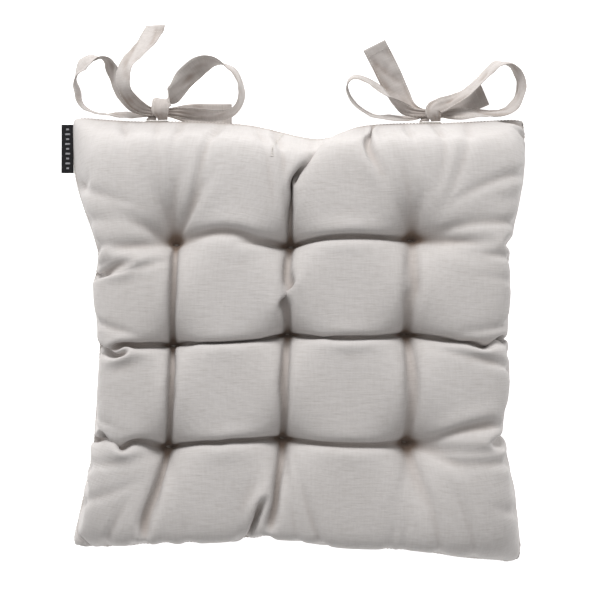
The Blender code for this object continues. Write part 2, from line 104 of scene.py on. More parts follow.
SEAM_HEIGHT_GRIP = 0.05  # and at least how firmly its height

# Push of the filling, and the creases where it gives way. Widths and places are in pillows
PUSH = 0.0036  # outward move of the cloth in one step, at the coarsest level
FILL_SPREAD = (0.7, 1.25)  # least and most push of a single pillow's filling
DRAW_BACK = -0.5  # share of the push above the full height
LINE_PUSH = -0.1  # and along a crease
TUFT_PUSH = -1.0  # and beside a tuft
TUFT_LINES = (1, 2, 3)
CREASE_WIDTH = 0.03
PLEAT_OPENING = 0.05  # half the gap, halfway, between the two creases of a pleat that runs front to back
OUTER_DEPTH = 0.7  # of a crease between tufts where it meets the seam
FOLD_DEPTH = 0.6  # of a fold spreading from an outer tuft, at its far end
FOLD_SCATTER = 0.12

# Folds that run in from the gathered seam
SEAM_FOLDS = 13  # along each side
SEAM_FOLD_DEPTH = 0.0065
SEAM_FOLD_WIDTH = 0.04  # of a pillow
SEAM_FOLD_START = 0.15  # of a pillow, how far in from the seam they reach their depth
CORNER_ROUNDING = 0.010
RIM_EDGE = 0.0005  # how far out of its lean the cloth may stand
RIM_SLOPE = 0.42  # how far the cloth leans in above the rear seam, for each metre of rise
RIM_SLOPE_UNDER = 1.45  # and below it
LABEL_RIM = 0.150  # from the pad's centre: the left seam is held in the same way behind this, by the label

# Shade of the creases, from how far the cloth lies below its surroundings: how many times their reach goes
# into a pillow, the depth where the shade starts, the further depth where it is full, and its strength
CREASE_SHADES = ((26, 0, 0.0045, 0.7), (8, 0.008, 0.020, 0.5))
# Painted shade in the pits at the tufts: how far it reaches, and how dark it is at a tuft
PIT_REACH = 0.09  # of a pillow
PIT_PAINTED_SHADE = 0.75


def srgb(red, green, blue):
    """Linear colour from 8-bit display values."""
    def linear(value):
        value /= 255
        return value / 12.92 if value <= 0.04045 else ((value + 0.055) / 1.055) ** 2.4

    return (linear(red), linear(green), linear(blue), 1)


def unit(vectors):
    return vectors / np.maximum(np.linalg.norm(vectors, axis=-1, keepdims=True), 1e-12)


def mix(a, b, share):
    return a + (b - a) * share


def run_lengths(points):
    """Length of a line of points up to each of them."""
    return np.concatenate([[0], np.cumsum(np.linalg.norm(np.diff(points, axis=0), axis=1))])


def read_off(at, run, rows):
    """Rows of values at the places at, from the rows at the places run."""
    return np.stack([np.interp(at, run, column) for column in rows.T], axis=1)


# ------------------------------ cushion


def smooth_curve(points, counts):
    """Smooth curve through points, with counts[n] steps from point n to the next."""
    points = np.asarray(points, float)
    ends = np.vstack([2 * points[0] - points[1], points, 2 * points[-1] - points[-2]])
    found = []
    for n, count in enumerate(counts):
        a, b, c, d = ends[n:n + 4]
        t = (np.arange(count) / count)[:, None]
        found.append(0.5 * (2 * b + (c - a) * t + (2 * a - 5 * b + 4 * c - d) * t**2
                            + (3 * b - a - 3 * c + d) * t**3))
    found.append(points[-1:])
    return np.vstack(found)


def ring_keys(last):
    """Row and column of each seam node, anticlockwise seen from above."""
    span = range(last)
    return ([(0, k) for k in span] + [(k, last) for k in span] + [(last, last - k) for k in span]
            + [(last - k, 0) for k in span])


def tuft_places():
    """Plan places of the tufts from the pad's centre, [row from the front][column from the left]."""
    rows = []
    for first in (7, 4, 1):
        boxes = [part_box(f"tuft_thread_{first + column}") for column in range(3)]
        rows.append([[(low[k] + high[k]) / 2 - PAD_CENTRE[k] for k in (0, 1)] for low, high in boxes])
    return np.array(rows)


TUFTS = tuft_places()


def guide_net(size):
    """Plan place of each node of a panel, size nodes to a pillow: seam guide, tufts and between."""
    half = size // 2
    counts = [half, size - half] * 4
    rear, front, left, right = (
        smooth_curve(points, counts) * MM for points in (REAR_SEAM, FRONT_SEAM, LEFT_SEAM, RIGHT_SEAM)
    )
    left, right = left[::-1], right[::-1]
    corners = np.zeros((5, 5, 2))
    corners[1:4, 1:4] = TUFTS
    corners[0], corners[4], corners[:, 0], corners[:, 4] = (
        side[::size] for side in (front, rear, left, right)
    )
    net = np.zeros((4 * size + 1, 4 * size + 1, 2))
    share = np.linspace(0, 1, size + 1)
    s, t = share[None, :, None], share[:, None, None]
    for row in range(4):
        for column in range(4):
            a, b = corners[row, column], corners[row, column + 1]
            c, d = corners[row + 1, column], corners[row + 1, column + 1]
            patch = (a * (1 - s) + b * s) * (1 - t) + (c * (1 - s) + d * s) * t
            net[row * size:(row + 1) * size + 1, column * size:(column + 1) * size + 1] = patch
    net[0], net[-1], net[:, 0], net[:, -1] = front, rear, left, right
    round_corners(net)
    return net.astype(FLOAT)


def round_corners(net):
    """Smooths the seam's line near the corners of the net."""
    last = len(net) - 1
    rows, columns = np.array(ring_keys(last)).T
    ring = net[rows, columns]
    corners = net[[0, 0, -1, -1], [0, -1, 0, -1]]
    away = np.linalg.norm(ring[:, None] - corners[None], axis=2).min(axis=1)
    share = np.clip(2 - away / CORNER_ROUNDING, 0, 1)[:, None] / 2
    spacing = np.linalg.norm(np.diff(ring, axis=0), axis=1).mean()
    for _ in range(round((CORNER_ROUNDING / spacing) ** 2)):
        ring = mix(ring, (np.roll(ring, 1, 0) + np.roll(ring, -1, 0)) / 2, share)
    net[rows, columns] = ring


def first_shape(size):
    """Panels over the net, already humped between the tufts."""
    nodes = 4 * size + 1
    cloth = np.zeros((2, nodes, nodes, 3), FLOAT)
    cloth[..., :2] = guide_net(size)
    place = np.arange(nodes) / size
    wave = np.sqrt(np.abs(np.sin(np.pi * place)))
    fade = np.clip((1 - np.minimum(place, 4 - place)) / START_FADE, 0, 1)
    across, along = mix(wave[None, :], 1, fade[:, None]), mix(wave[:, None], 1, fade[None, :])
    edge = np.sin(np.pi * np.arange(nodes) / (nodes - 1)) ** 0.5
    hump = mix(START_VALLEY, 1, across * along) * np.outer(edge, edge) * START_HUMP
    cloth[0, ..., 2] = SEAM_HEIGHT + START_GAP + hump
    cloth[1, ..., 2] = SEAM_HEIGHT - START_GAP - hump
    return cloth


def refine(cloth):
    """The same cloth with twice the nodes."""
    nodes = 2 * cloth.shape[1] - 1
    fine = np.zeros((2, nodes, nodes, 3), FLOAT)
    fine[:, ::2, ::2] = cloth
    fine[:, 1::2, ::2] = (fine[:, :-1:2, ::2] + fine[:, 2::2, ::2]) / 2
    fine[:, :, 1::2] = (fine[:, :, :-1:2] + fine[:, :, 2::2]) / 2
    return fine


def pull_pairs(a, b, rest, stretch, squeeze):
    """Moves the nodes of each pair towards their rest distance."""
    between = b - a
    length = np.sqrt(np.einsum("...k,...k->...", between, between)) + FLOAT(1e-9)
    error = (length - rest) / length
    between *= (np.where(error > 0, error * FLOAT(stretch / 2), error * FLOAT(squeeze / 2)))[..., None]
    a += between
    b -= between


def keep_lengths(cloth, across, along, diagonal):
    """One solver round over the cloth's threads and its two diagonals."""
    last = cloth.shape[1] - 1
    for first in (0, 1):
        stop = first + (last - first) // 2 * 2
        one, next_one = slice(first, stop, 2), slice(first + 1, stop + 1, 2)
        pull_pairs(cloth[:, :, one], cloth[:, :, next_one], across[:, :, one], STRETCH, SQUEEZE)
        pull_pairs(cloth[:, one], cloth[:, next_one], along[:, one], STRETCH, SQUEEZE)
        rest = diagonal[:, :, one]
        pull_pairs(cloth[:, :-1, one], cloth[:, 1:, next_one], rest, SHEAR, SHEAR / 2)
        pull_pairs(cloth[:, 1:, one], cloth[:, :-1, next_one], rest, SHEAR, SHEAR / 2)


def resist_bending(cloth, stiffness):
    for turned in (cloth, cloth.swapaxes(1, 2)):
        bend = (turned[:, :, 2:] + turned[:, :, :-2] - 2 * turned[:, :, 1:-1]) * FLOAT(stiffness / 6)
        turned[:, :, 1:-1] += 2 * bend
        turned[:, :, 2:] -= bend
        turned[:, :, :-2] -= bend


def keep_order(cloth, least):
    """Keeps neighbours in order in plan, so that no fold runs through another."""
    last = cloth.shape[1] - 1
    for first in (0, 1):
        stop = first + (last - first) // 2 * 2
        for axis, turned in enumerate((cloth, cloth.swapaxes(1, 2))):
            a, b = turned[:, :, first:stop:2, axis], turned[:, :, first + 1:stop + 1:2, axis]
            push = np.clip(least[axis] - (b - a), 0, None) / 2
            a -= push
            b += push


def hold_seam(cloth, guide):
    """Both panels share the seam, which is drawn to its guide."""
    for side, grip in zip(SIDES, SEAM_GRIP):
        shared = (cloth[0][side] + cloth[1][side]) / 2
        shared[..., :2] += (guide[side] - shared[..., :2]) * FLOAT(grip)
        shared[..., 2] += (SEAM_HEIGHT - shared[..., 2]) * FLOAT(max(grip, SEAM_HEIGHT_GRIP))
        cloth[0][side] = shared
        cloth[1][side] = shared


def hold_rim(cloth, guide):
    """Keeps the filling from bulging over the rear seam, where the bows swing, and over the label."""
    above = cloth[..., 2] - SEAM_HEIGHT
    lean = np.maximum(np.where(above > 0, above * RIM_SLOPE, -above * RIM_SLOPE_UNDER) - RIM_EDGE, 0)
    lean = lean.astype(FLOAT)
    cloth[..., 1] = np.minimum(cloth[..., 1], guide[-1, :, 1] - lean)
    beside = guide[:, 0, 1] > LABEL_RIM
    least = guide[beside, 0, 0][:, None] + lean[:, beside]
    x = cloth[..., 0]
    x[:, beside] = np.maximum(x[:, beside], least)


def hold_tufts(cloth, size):
    reach = max(1, round(TUFT_HALF / (FLAT_COLUMNS[1] / size)))
    for row in range(3):
        for column in range(3):
            j, i = (row + 1) * size, (column + 1) * size
            x, y = TUFTS[row, column]
            for k in range(-reach, reach + 1):
                cloth[0, j, i + k] = (x + TUFT_HALF * k / reach, y, TUFT_TOP)
                cloth[1, j, i + k] = (x + TUFT_HALF * k / reach, y, TUFT_BOTTOM)


def outward(cloth):
    """Outward area vector at each inner node."""
    du, dv = np.zeros_like(cloth), np.zeros_like(cloth)
    du[:, :, 1:-1] = cloth[:, :, 2:] - cloth[:, :, :-2]
    dv[:, 1:-1] = cloth[:, 2:] - cloth[:, :-2]
    area = np.cross(du, dv)
    area[1] *= -1
    return area


def rest_lengths(size, guide):
    """Rest lengths across, along and diagonally, for both panels, gathered into the seam."""
    nodes = 4 * size + 1
    flat_x, flat_y = np.repeat(FLAT_COLUMNS, size) / size, np.repeat(FLAT_ROWS, size) / size
    net_x = np.linalg.norm(np.diff(guide, axis=1), axis=-1)
    net_y = np.linalg.norm(np.diff(guide, axis=0), axis=-1)
    from_seam = np.minimum(np.arange(nodes), nodes - 1 - np.arange(nodes)) * flat_x.mean()
    gathered = np.exp(-((from_seam / SEAM_GATHER_REACH) ** 2))
    across = mix(flat_x[None, :], net_x * SEAM_SLACK, gathered[:, None])
    along = mix(flat_y[:, None], net_y * SEAM_SLACK, gathered[None, :])
    across = np.stack([across, mix(net_x, across, UNDERSIDE_SHARE)])
    along = np.stack([along, mix(net_y, along, UNDERSIDE_SHARE)])
    diagonal = np.hypot((across[:, 1:] + across[:, :-1]) / 2, (along[:, :, 1:] + along[:, :, :-1]) / 2)
    return across.astype(FLOAT), along.astype(FLOAT), diagonal.astype(FLOAT)


def crease_lines():
    """The creases the filling leaves: (start, end, bow, depth at the start and the end), in pillows."""
    rng = np.random.default_rng(SEED + 2)
    lines = []

    def about(width):
        return rng.uniform(-width, width)

    def fan(line, asides, reaches, depth, turn):
        """Folds that spread towards the seam from both outer tufts of a line of tufts."""
        for tuft, out in ((1, -1), (3, 1)):
            for aside in asides:
                reach = rng.uniform(*reaches)
                end = line + (aside + about(FOLD_SCATTER)) * reach
                start, end = (line, tuft)[::turn], (end, tuft + out * reach)[::turn]
                lines.append((start, end, about(0.05), depth, FOLD_DEPTH))

    for row in TUFT_LINES:
        for column in range(4):
            first, last = (OUTER_DEPTH if column == outer else 1 for outer in (0, 3))
            lines.append(((column, row), (column + 1, row), about(0.06), first, last))
    for column in TUFT_LINES:
        for row in (1, 2):
            lean = about(0.03)
            for bow in (lean + PLEAT_OPENING, lean - PLEAT_OPENING):
                lines.append(((column, row), (column, row + 1), bow, 1, 1))
        fan(column, (-0.33, 0, 0.33), (0.6, 1), 1, 1)
    for row in TUFT_LINES:
        fan(row, (-0.35, 0.35), (0.5, 0.95), 0.8, -1)
    return lines


def seam_folds():
    """Folds running in from the gathered seam towards the outer tufts, as in crease_lines."""
    rng = np.random.default_rng(SEED + 3)
    lines = []
    for turned in (False, True):
        for edge, inwards in ((0, 1), (4, -1)):
            for n in range(SEAM_FOLDS):
                place = mix(0.3, 3.7, (n + 0.5 + rng.uniform(-0.35, 0.35)) / SEAM_FOLDS)
                start = (place, edge)
                reach = rng.uniform(0.45, 1)
                tuft = min(max(round(place), 1), 3) + rng.uniform(-0.1, 0.1)
                end = (mix(place, tuft, 0.7 * reach), edge + inwards * reach)
                ends = (start[::-1], end[::-1]) if turned else (start, end)
                lines.append((*ends, rng.uniform(-0.03, 0.03), rng.uniform(0.3, 1), 0))
    return lines


def line_field(size, lines, width):
    """How near each node lies to one of the lines, times the line's depth there."""
    place = np.arange(4 * size + 1) / size
    nodes = np.stack(np.meshgrid(place, place), axis=-1)
    field = np.zeros(nodes.shape[:2])
    for start, end, bow, first, last in lines:
        start, end = np.array(start, float), np.array(end, float)
        run = end - start
        side = np.array((-run[1], run[0])) / np.linalg.norm(run)
        placed = (nodes - start) @ run / (run @ run)
        t = np.clip(placed, 0, 1)
        off = (nodes - start) @ side - bow * np.sin(np.pi * t)
        far = off ** 2 + (placed - t) ** 2 * (run @ run)
        field = np.maximum(field, mix(first, last, t) * np.exp(-far / width ** 2))
    return field


def near_tufts(size, reach):
    """How near each node lies to a tuft, 1 at the tuft, falling off over reach."""
    place = np.arange(4 * size + 1) / size
    aside = np.abs(place - np.clip(np.round(place), 1, 3))
    return np.exp(-(aside[:, None] ** 2 + aside[None, :] ** 2) / reach ** 2)


def push_profile(size):
    """Share of the filling's push at each node: full on a pillow, little along the creases."""
    crease = line_field(size, crease_lines(), CREASE_WIDTH)
    return mix(mix(1, LINE_PUSH, crease), TUFT_PUSH, near_tufts(size, CREASE_WIDTH)).astype(FLOAT)


def press_seam_folds(cloth, size):
    """The cloth with the seam's folds pressed in, from nothing at the seam itself."""
    place = np.arange(4 * size + 1) / size
    inside = np.minimum(place, 4 - place)
    inside = np.clip(np.minimum(inside[:, None], inside[None, :]) / SEAM_FOLD_START, 0, 1)
    folds = line_field(size, seam_folds(), SEAM_FOLD_WIDTH) * SEAM_FOLD_DEPTH * inside
    return cloth - unit(outward(cloth)) * folds[None, ..., None]


def simulate_cover():
    """Node places of the top and bottom panel, [panel][row][column], from the pad's centre."""
    rng = np.random.default_rng(SEED)
    fills = rng.uniform(*FILL_SPREAD, (4, 4))
    cloth = None
    for size, steps, rounds, bending in LEVELS:
        cloth = first_shape(size) if cloth is None else refine(cloth)
        guide = guide_net(size)
        across, along, diagonal = rest_lengths(size, guide)
        step_x, step_y = across[0].mean(), along[0].mean()
        noise_size = START_NOISE * step_x * LEVELS[0][0] / size
        cloth += rng.normal(0, noise_size, cloth.shape).astype(FLOAT)
        pillow = np.minimum(np.arange(4 * size + 1) // size, 3)
        strength = FLOAT(PUSH * (LEVELS[0][0] / size) ** 2 / (4 * step_x * step_y))
        push = push_profile(size) * fills[pillow][:, pillow].astype(FLOAT) * strength
        push = push[None, ..., None]
        least = (FLOAT(LEAST_STEP) * step_x, FLOAT(LEAST_STEP) * step_y)
        before = cloth.copy()
        for _ in range(steps):
            speed = (cloth - before) * FLOAT(DAMPING)
            np.copyto(before, cloth)
            fill = np.clip((FULL_HEIGHT - cloth[..., 2:]) / PUSH_RANGE, DRAW_BACK, 1).astype(FLOAT)
            cloth += speed + outward(cloth) * push * fill
            for _ in range(rounds):
                keep_lengths(cloth, across, along, diagonal)
                resist_bending(cloth, bending)
                keep_order(cloth, least)
                hold_rim(cloth, guide)
                hold_seam(cloth, guide)
                hold_tufts(cloth, size)
                upper, lower = cloth[:, 1:-1, 1:-1, 2]
                gap = np.clip(PANEL_GAP - (upper - lower), 0, None) / 2
                upper += gap
                lower -= gap
                np.maximum(cloth[..., 2], 0, out=cloth[..., 2])
    cloth = press_seam_folds(cloth, size)
    cloth[..., 2] = np.maximum(cloth[..., 2], 0)
    return cloth.astype(float)


def new_object(name, verts, faces, material, smooth=True, flat=None, crease=None):
    """Object from its vertices and faces, with the cloth's flat place and its painted shade at each vertex."""
    mesh = bpy.data.meshes.new(name)
    mesh.from_pydata([tuple(v) for v in verts], [], [tuple(f) for f in faces])
    mesh.materials.append(material)
    if flat is not None:
        layer = mesh.attributes.new("flat", "FLOAT_VECTOR", "POINT")
        layer.data.foreach_set("vector", np.asarray(flat, np.float32).ravel())
    if crease is not None:
        layer = mesh.attributes.new("crease", "FLOAT", "POINT")
        layer.data.foreach_set("value", np.asarray(crease, np.float32).ravel())
    mesh.validate()
    mesh.update()
    if smooth:
        mesh.shade_smooth()
    obj = bpy.data.objects.new(name, mesh)
    bpy.context.scene.collection.objects.link(obj)
    return obj


def blurred(field, reach, rounds=3):
    """Field smoothed over reach nodes to each side, with its edge values carried on outside it."""
    for _ in range(rounds):
        for axis in (0, 1):
            padded = np.pad(field, [(reach + 1, reach) if a == axis else (0, 0) for a in (0, 1)], "edge")
            total = np.cumsum(padded, axis=axis)
            high = np.take(total, np.arange(2 * reach + 1, total.shape[axis]), axis=axis)
            low = np.take(total, np.arange(total.shape[axis] - 2 * reach - 1), axis=axis)
            field = (high - low) / (2 * reach + 1)
    return field


def painted_crease_shade(cloth):
    """Painted shade of each node of both panels, 0 to 1: from how deep it lies in a crease, darkest near a
    tuft's pit.
    """
    size = (cloth.shape[1] - 1) // 4
    found = []
    for panel, way in ((0, 1), (1, -1)):
        height = cloth[panel, ..., 2] * way
        shades = []
        for part, start, full, strength in CREASE_SHADES:
            below = blurred(height, max(size // part, 1)) - height
            shades.append(np.clip((below - start) / full, 0, 1) * strength)
        found.append(sum(shades))
    return np.clip(np.stack(found) + PIT_PAINTED_SHADE * near_tufts(size, PIT_REACH), 0, 1)


def make_cushion(cloth, material):
    """One closed cover from the two panels, welded at the seam."""
    nodes = cloth.shape[1]
    size = (nodes - 1) // 4
    number = np.arange(nodes * nodes).reshape(nodes, nodes)
    below = np.zeros_like(number)
    below[1:-1, 1:-1] = nodes * nodes + np.arange((nodes - 2) ** 2).reshape(nodes - 2, nodes - 2)
    for side in SIDES:
        below[side] = number[side]
    x, y = (np.concatenate([[0], np.cumsum(np.repeat(widths, size) / size)])
            for widths in (FLAT_COLUMNS, FLAT_ROWS))
    flat_x, flat_y = np.meshgrid(x, y)
    flat = np.dstack([flat_x, flat_y, np.zeros_like(flat_x)])

    def welded(top, bottom):
        return np.concatenate([top.reshape(-1, *top.shape[2:]), bottom[1:-1, 1:-1].reshape(-1, *top.shape[2:])])

    verts = welded(*cloth) + np.array([*PAD_CENTRE, 0])
    upper = np.stack([number[:-1, :-1], number[:-1, 1:], number[1:, 1:], number[1:, :-1]], -1)
    lower = np.stack([below[:-1, :-1], below[1:, :-1], below[1:, 1:], below[:-1, 1:]], -1)
    faces = np.vstack([upper.reshape(-1, 4), lower.reshape(-1, 4)])
    return new_object("cushion_cover", verts, faces.tolist(), material, flat=welded(flat, flat),
                      crease=welded(*painted_crease_shade(cloth)))


# ------------------------------ ties

FLAT = 90  # turn of a tie whose face looks up; a tie on its edge has a turn of 0
TIE_WIDTH = 0.025
TIE_GATHERED_WIDTH = 0.008
TIE_THICKNESS = 0.0011
TIE_STEP = 0.002
TIE_SIDES = 14  # faces across a tie
TIE_EDGE = 0.10  # share of half the width over which a tie thins towards its edge
TIE_EDGE_THICKNESS = 0.35
TIE_HEM = 0.009
TIE_STITCH_PITCH, TIE_STITCH_LENGTH, TIE_STITCH_RADIUS = 0.0030, 0.0023, 0.00022
TIE_STITCH_INSET = 0.176  # of the edge stitching, as a share of half the width
TIE_STITCH_END = 0.004  # how far from a tie's ends the edge stitching stops
PLEAT = 0.0006  # of a tie that is gathered
RIPPLE = 0.0014
RIPPLE_END = 0.006  # over which the ripples die down towards a tie's ends
# Painted shade on the ties: a little over all of them, more where they are gathered, more in the dips of their
# ripples
TIE_PAINTED_SHADE = 0.22
GATHER_PAINTED_SHADE = 0.3
RIPPLE_PAINTED_SHADE = 0.5
COURSE_SEAM_HEIGHT = 24  # mm, of the seam in the courses

# The course of each tie: X and Y in mm from its hinge, the height in mm of its lower edge, its turn about
# its own course in degrees (or its width direction), and its spread, 0 to 1. It is the CAD model's, but for
# the spread of the two wrapping ties over the knot, which is wider here.
LOOP_ROOT = [
    (-5.7, 1.3, 24, (1, 0, 0), 0.12),
    (-5.7, 2.3, 23.9, (1, 0, 0), 0.12),
]
WRAP_ROOT = [
    (5.7, 1.3, 24, (1, 0, 0), 0.12),
    (5.7, 2.3, 24.1, (1, 0, 0), 0.12),
    (5.6, 3.4, 24.9, (1, 0, 0), 0.15),
    (5.2, 4.6, 26.4, (1, 0, 0), 0.21),
]
LEFT_TIE_LOOP = LOOP_ROOT + [
    (-5.8, 3.4, 23, (1, 0, 0), 0.12),
    (-7.6, 5, 17.6, (0.8, 0.2, 0.5), 0.12),
    (-11.5, 6, 11.9, 14, 0.15),
    (-18, 6.4, 7.9, 18, 0.41),
    (-29, 7, 3.3, 19, 0.93),
    (-43, 7.6, 2.4, 14, 1),
    (-55, 8, 2.6, 8, 1),
    (-65, 9.6, 3.6, 8, 1),
    (-73.5, 14, 4.7, 9, 1),
    (-79.6, 23.7, 4.7, 9, 1),
    (-82.6, 36, 4.6, 8, 1),
    (-81.8, 48, 4.8, -12, 1),
    (-75.8, 57.6, 8.1, -38, 1),
    (-66.2, 63.6, 8, -28, 1),
    (-56.4, 64.2, 6.5, 0, 1),
    (-49, 58, 8, 28, 1),
    (-44, 47, 8.4, 32, 1),
    (-40.4, 36, 8, 28, 1),
    (-33.5, 24.5, 9.3, 30, 0.85),
    (-25, 16, 15, 50, 0.44),
    (-14, 10.6, 20.6, 80, 0.06),
    (-6, 9.6, 21.8, FLAT, 0),
    (-1.5, 9.5, 22.2, FLAT, 0),
    (0.4, 9.5, 24, (0, 1, 0), 0),
    (-1.5, 9.5, 25.8, -FLAT, 0),
    (-7, 9.8, 26.2, -85, 0.06),
    (-16, 13, 27.3, -62, 0.34),
    (-25, 19.5, 31.5, -46, 0.63),
    (-31.5, 31, 34.4, -40, 0.85),
    (-32.6, 44, 33.1, -38, 1),
    (-28.3, 57, 29.1, -38, 1),
    (-19.6, 69, 22.4, -40, 1),
    (-11, 80, 15.9, -43, 1),
    (-4.5, 91, 9.5, -47, 1),
    (-2, 98, 7, -50, 1),
]
LEFT_TIE_WRAP = WRAP_ROOT + [
    (4.8, 6.4, 29, (1, 0, 0), 0.4),
    (3.8, 10.4, 30.9, (1, 0.1, 0), 0.58),
    (4, 15, 29.1, (1, -0.15, 0.1), 0.59),
    (6.6, 19.6, 22.5, (0.9, -0.4, 0.4), 0.71),
    (13.1, 24.4, 13.9, 36, 0.71),
    (19.6, 32, 11.7, 44, 0.88),
    (28.3, 44.2, 11.3, 52, 1),
    (39.4, 54.5, 11, 50, 1),
    (50.5, 60, 8.2, 30, 1),
    (62, 60.6, 6, 4, 1),
    (71.7, 56.6, 5.9, -14, 1),
    (79.3, 50.5, 5.4, -15, 1),
    (84.2, 39.4, 5.2, -11, 1),
    (85.3, 27.3, 5.2, -11, 1),
    (82, 16, 5.8, -12, 1),
    (74.4, 9.2, 6.5, -16, 1),
    (62, 6.6, 7.1, -22, 0.97),
    (48, 6.8, 8.6, -28, 0.85),
    (34, 8.2, 12.5, -42, 0.56),
    (22, 9.2, 17.5, -70, 0.19),
    (13, 9.5, 19.2, -FLAT, 0.03),
    (9.2, 9.5, 18.8, -FLAT, 0.03),
    (7.2, 9.5, 16.8, (0, 1, 0), 0.03),
    (9.2, 9.5, 14.8, FLAT, 0.03),
    (13, 9.6, 13, FLAT, 0.12),
    (20, 9.8, 7.8, FLAT, 0.34),
    (29, 9.6, 3.6, FLAT, 0.63),
    (40, 9, 2.2, FLAT, 0.79),
    (56, 8.6, 2, FLAT, 0.82),
    (74.7, 8.6, 2, FLAT, 0.82),
]
RIGHT_TIE_LOOP = LOOP_ROOT + [
    (-5.8, 3.4, 23.2, (1, 0, 0), 0.12),
    (-7.6, 4.8, 18.6, (0.8, 0.2, 0.5), 0.12),
    (-11.5, 5.4, 14.1, 14, 0.12),
    (-18, 4.9, 10.7, 18, 0.35),
    (-28, 5.1, 5.9, 19, 0.85),
    (-40, 5.2, 4.5, 17, 1),
    (-51, 6.4, 4.4, 14, 1),
    (-61.6, 9.6, 4.4, 14, 1),
    (-72.2, 16, 4.8, 12, 1),
    (-80.4, 25.4, 4.7, 9, 1),
    (-84, 35.3, 5, 4, 1),
    (-82.4, 43.4, 5.6, -8, 1),
    (-76, 47.4, 6.4, -15, 1),
    (-66.5, 45.4, 7, -17, 1),
    (-56.4, 39.4, 7.6, -18, 1),
    (-46.4, 31, 7.9, -15, 1),
    (-36.6, 21.6, 8.1, 6, 1),
    (-27, 14.4, 15.3, 34, 0.59),
    (-16.8, 10.4, 23, 74, 0.12),
    (-8, 9.6, 24.9, FLAT, 0),
    (-2.5, 9.5, 24.8, FLAT, 0),
    (-0.4, 9.5, 22.8, (0, 1, 0), 0),
    (-2.5, 9.5, 20.8, -FLAT, 0),
    (-8, 10.6, 18.6, -FLAT, 0.03),
    (-15, 14, 12, -FLAT, 0.15),
    (-21.6, 19.4, 6.2, -FLAT, 0.41),
    (-28, 28, 3, -FLAT, 0.74),
    (-34, 38, 2, -88, 0.91),
    (-39.6, 49, 2.1, -84, 1),
    (-46, 61.6, 3.4, -80, 1),
    (-52, 72.6, 5.4, -78, 1),
    (-56, 80, 7.4, -78, 1),
]
RIGHT_TIE_WRAP = WRAP_ROOT + [
    (4.4, 6.2, 28, (1, 0, 0), 0.4),
    (3.6, 10.2, 29.4, (1, 0.1, 0), 0.6),
    (5, 14.4, 27.7, (0.95, -0.3, 0.1), 0.56),
    (11.5, 17.6, 24.1, (0.5, -0.8, 0.25), 0.5),
    (22.8, 22.6, 18.2, -52, 0.44),
    (38.7, 31.4, 11.5, -26, 0.78),
    (50.5, 43, 8.3, -21, 1),
    (61.2, 54, 7.3, -20, 1),
    (70.8, 60, 6, -16, 1),
    (81.6, 59.4, 5, 0, 1),
    (89.4, 51.1, 5.4, 14, 1),
    (92.9, 39.4, 5.5, 17, 1),
    (90.4, 26.1, 5.7, 19, 1),
    (83, 15.2, 6.3, 21, 1),
    (72.4, 11.2, 6.3, 20, 1),
    (59.8, 10.6, 6.4, 22, 1),
    (46.7, 10.4, 8.1, 30, 0.93),
    (32, 9.6, 13.6, 50, 0.59),
    (21, 9.3, 18.1, 76, 0.18),
    (13, 9.5, 19.2, FLAT, 0.03),
    (9.2, 9.5, 18.8, FLAT, 0.03),
    (7.2, 9.5, 16.8, (0, 1, 0), 0.03),
    (9.2, 9.6, 14.8, FLAT, 0.03),
    (14, 11, 12.6, FLAT, 0.12),
    (22, 15, 7, FLAT, 0.41),
    (31, 19.4, 3.2, FLAT, 0.76),
    (42, 24.4, 2.2, FLAT, 0.91),
    (57.5, 31, 2.2, FLAT, 0.91),
]


def width_directions(stations):
    """Width direction at each station, from its turn about the course or as given."""
    places = [Vector(station[:2]) for station in stations]
    found = []
    for n, station in enumerate(stations):
        if isinstance(station[3], tuple):
            found.append(Vector(station[3]).normalized())
            continue
        along = places[min(n + 1, len(places) - 1)] - places[max(n - 1, 0)]
        left = Vector((-along.y, along.x, 0)).normalized()
        turn = math.radians(station[3])
        found.append(Vector((0, 0, math.cos(turn))) + left * math.sin(turn))
    return found


def tie_course(stations, hinge):
    """Evenly spaced centres, half widths with their direction, and spreads, along a tie."""
    rows = []
    for (x, y, height, _, spread), direction in zip(stations, width_directions(stations)):
        half = mix(TIE_GATHERED_WIDTH, TIE_WIDTH, spread) / 2
        low = (height - COURSE_SEAM_HEIGHT) * MM
        place = hinge + Vector((x * MM, y * MM, low + abs(direction.z) * half))
        rows.append((*place, *(direction * half), spread))
    fine = smooth_curve(rows, [8] * (len(rows) - 1))
    run = run_lengths(fine[:, :3])
    even = np.linspace(0, run[-1], round(run[-1] / TIE_STEP) + 1)
    return even, read_off(even, run, fine)


def band(name, rings, material, flat, crease=None):
    """Closed flat band from rings of points, [ring][point][axis], that run up one face and back below."""
    count, sides = rings.shape[:2]
    number = np.arange(count * sides).reshape(count, sides)
    following = np.roll(number, -1, axis=1)
    faces = np.stack([number[:-1], following[:-1], following[1:], number[1:]], -1).reshape(-1, 4).tolist()
    for row, flip in ((number[0], True), (number[-1], False)):
        top, bottom = row[:sides // 2], row[sides // 2:][::-1]
        for k in range(sides // 2 - 1):
            quad = [top[k], bottom[k], bottom[k + 1], top[k + 1]]
            faces.append(quad if flip else quad[::-1])
    verts = rings.reshape(-1, 3)
    a, b, c, d = (verts[np.array(faces)[:, k]] for k in range(4))
    volume = (np.cross(a, b) * c).sum() + (np.cross(a, c) * d).sum()
    if volume < 0:
        faces = [face[::-1] for face in faces]
    return new_object(name, verts, faces, material, flat=flat, crease=crease)


def tie_ripples(run, u, seed):
    """How far the middle of a tie's cloth stands off its course, at each place along and across it."""
    offset = np.zeros((len(run), len(u)))
    for n, s in enumerate(run):
        for k, place in enumerate(u):
            soft = noise.noise(Vector((s * 55, place * 0.9, seed * 7.3)))
            fine = noise.noise(Vector((s * 140, place * 2.2, seed * 3.1 + 40)))
            sharp = 0.25 - abs(noise.noise(Vector((s * 42 + place * 0.7, place * 0.8, seed * 5.9 + 80))))
            offset[n, k] = RIPPLE * (0.9 * soft + 0.4 * fine + 1.6 * sharp)
    return offset


